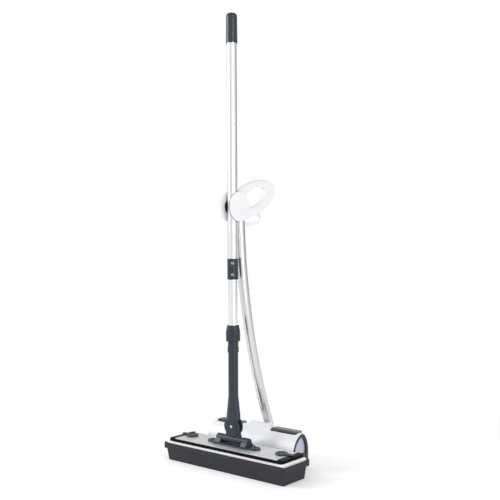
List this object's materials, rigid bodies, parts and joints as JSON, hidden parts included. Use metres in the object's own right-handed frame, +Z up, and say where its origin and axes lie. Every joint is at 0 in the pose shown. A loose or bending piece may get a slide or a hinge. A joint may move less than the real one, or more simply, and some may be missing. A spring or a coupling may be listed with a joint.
{
  "type": "floor mop with carpet sweeper",
  "caption": "Flat floor mop standing in a tray, with a slim carpet sweeper clipped to its pole by a loop handle and curved stick.",
  "frame": {"origin": "centre of the tray's flat underside", "axes": "+X along the tray to the right, +Y to the rear where the sweeper stands, +Z up the pole"},
  "size_m": [0.444, 0.2422, 1.28],
  "materials": {
    "tray_plastic": "fine moulded texture, charcoal",
    "pad_cloth": "looped microfibre, white",
    "black_plastic": "satin black",
    "steel_sheet": "brushed along its length",
    "steel_pin": "bright",
    "dark_steel": "blackened",
    "slate_plastic": "satin slate",
    "aluminium_tube": "satin anodised",
    "white_plastic": "gloss white",
    "lining_rubber": "matt",
    "smoke_plastic": "gloss smoke grey",
    "window_plastic": "clear, faintly blue",
    "tyre_rubber": "matt",
    "grey_plastic": "satin grey",
    "bristle": "nylon tufts"
  },
  "bodies": {
    "tray": {"tray": "tray_plastic"},
    "mop_head": {"mop_pad": "pad_cloth", "base_frame": "black_plastic", "top_plate": "steel_sheet", "end_cap_left": "black_plastic", "end_cap_right": "black_plastic", "knob_studs": "dark_steel", "joint_base": "slate_plastic", "base_screws": "dark_steel", "tilt_pin": "dark_steel"},
    "knob_left": {"lock_knob_left": "slate_plastic"},
    "knob_right": {"lock_knob_right": "slate_plastic"},
    "tilt_yoke": {"yoke": "slate_plastic"},
    "arm": {"arm": "slate_plastic", "swing_pin": "steel_pin", "pivot_caps": "slate_plastic", "collet": "slate_plastic"},
    "collar": {"twist_collar": "slate_plastic"},
    "pole": {"lower_tube": "aluminium_tube", "tube_plug": "slate_plastic", "coupling_sleeve": "slate_plastic", "sleeve_rivets": "steel_pin", "upper_tube": "aluminium_tube", "top_grip": "slate_plastic"},
    "sweeper_handle": {"loop_handle": "white_plastic", "clip_disc_left": "white_plastic", "clip_disc_right": "white_plastic", "clip_pad_left": "lining_rubber", "clip_pad_right": "lining_rubber", "disc_screws": "steel_pin", "stick": "aluminium_tube", "stick_root": "white_plastic"},
    "sweeper_head": {"sweeper_hood": "white_plastic", "end_frame_left": "slate_plastic", "end_frame_right": "slate_plastic", "end_window_left": "window_plastic", "end_window_right": "window_plastic", "neck_pin": "steel_pin", "stub_axles": "steel_pin"},
    "brush": {"brush_core": "grey_plastic", "drive_pulleys": "lining_rubber", "brush_bristles": "bristle"},
    "front_flap": {"dust_flap_front": "grey_plastic"},
    "rear_flap": {"dust_flap_rear": "grey_plastic"},
    "left_bar": {"bin_bar_left": "smoke_plastic"},
    "right_bar": {"bin_bar_right": "smoke_plastic"},
    "front_left_wheel": {"wheel_front_left": "grey_plastic", "tyre_front_left": "tyre_rubber"},
    "front_right_wheel": {"wheel_front_right": "grey_plastic", "tyre_front_right": "tyre_rubber"},
    "rear_left_wheel": {"wheel_rear_left": "grey_plastic", "tyre_rear_left": "tyre_rubber"},
    "rear_right_wheel": {"wheel_rear_right": "grey_plastic", "tyre_rear_right": "tyre_rubber"}
  },
  "joints": [
    {"name": "mop_lift", "type": "slide", "parent": "tray", "child": "mop_head", "axis": [0, 0, 1], "range_m": [0, 0.12]},
    {"name": "lock_turn_left", "type": "hinge", "parent": "mop_head", "child": "knob_left", "pos_m": [-0.165, 0.006, 0.066], "axis": [0, 0, 1], "range_deg": [0, 90]},
    {"name": "lock_turn_right", "type": "hinge", "parent": "mop_head", "child": "knob_right", "pos_m": [0.165, 0.006, 0.066], "axis": [0, 0, 1], "range_deg": [0, 90]},
    {"name": "arm_tilt", "type": "hinge", "parent": "mop_head", "child": "tilt_yoke", "pos_m": [0, 0, 0.082], "axis": [1, 0, 0], "range_deg": [-3, 65]},
    {"name": "arm_swing", "type": "hinge", "parent": "tilt_yoke", "child": "arm", "pos_m": [0, 0, 0.1195], "axis": [0, 1, 0], "range_deg": [-70, 70]},
    {"name": "collar_twist", "type": "hinge", "parent": "arm", "child": "collar", "pos_m": [0, 0, 0.38], "axis": [0, 0, 1], "range_deg": [0, 150]},
    {"name": "pole_slide", "type": "slide", "parent": "arm", "child": "pole", "axis": [0, 0, 1], "range_m": [-0.105, 0.04]},
    {"name": "clip_release", "type": "slide", "parent": "arm", "child": "sweeper_handle", "axis": [0, 1, 0], "range_m": [0, 0.25]},
    {"name": "neck_tilt", "type": "hinge", "parent": "sweeper_handle", "child": "sweeper_head", "pos_m": [0, 0.16, 0.101], "axis": [1, 0, 0], "range_deg": [0, 60]},
    {"name": "brush_spin", "type": "hinge", "parent": "sweeper_head", "child": "brush", "pos_m": [0, 0.102, 0.02], "axis": [1, 0, 0], "continuous": true},
    {"name": "bar_press_left", "type": "slide", "parent": "sweeper_head", "child": "left_bar", "axis": [0, 0, -1], "range_m": [0, 0.004], "stiffness_N_per_m": 400, "springref_m": -0.002},
    {"name": "bar_press_right", "type": "slide", "parent": "sweeper_head", "child": "right_bar", "axis": [0, 0, -1], "range_m": [0, 0.004], "stiffness_N_per_m": 400, "springref_m": -0.002},
    {"name": "front_flap_open", "type": "hinge", "parent": "sweeper_head", "child": "front_flap", "pos_m": [0, 0.0715, 0.014], "axis": [-1, 0, 0], "range_deg": [0, 46]},
    {"name": "rear_flap_open", "type": "hinge", "parent": "sweeper_head", "child": "rear_flap", "pos_m": [0, 0.1325, 0.014], "axis": [1, 0, 0], "range_deg": [0, 46]},
    {"name": "front_left_wheel_spin", "type": "hinge", "parent": "sweeper_head", "child": "front_left_wheel", "pos_m": [-0.142, 0.081, 0.01], "axis": [1, 0, 0], "continuous": true},
    {"name": "front_right_wheel_spin", "type": "hinge", "parent": "sweeper_head", "child": "front_right_wheel", "pos_m": [0.142, 0.081, 0.01], "axis": [1, 0, 0], "continuous": true},
    {"name": "rear_left_wheel_spin", "type": "hinge", "parent": "sweeper_head", "child": "rear_left_wheel", "pos_m": [-0.142, 0.123, 0.01], "axis": [1, 0, 0], "continuous": true},
    {"name": "rear_right_wheel_spin", "type": "hinge", "parent": "sweeper_head", "child": "rear_right_wheel", "pos_m": [0.142, 0.123, 0.01], "axis": [1, 0, 0], "continuous": true}
  ],
  "couplings": [
    {"joint": "front_flap_open", "follows": "bar_press_left", "rad_per_m": 200},
    {"joint": "rear_flap_open", "follows": "bar_press_right", "rad_per_m": 200},
    {"joint": "front_left_wheel_spin", "follows": "brush_spin", "ratio": -1.2959},
    {"joint": "front_right_wheel_spin", "follows": "brush_spin", "ratio": -1.2959},
    {"joint": "rear_left_wheel_spin", "follows": "brush_spin", "ratio": -1.2959},
    {"joint": "rear_right_wheel_spin", "follows": "brush_spin", "ratio": -1.2959}
  ]
}
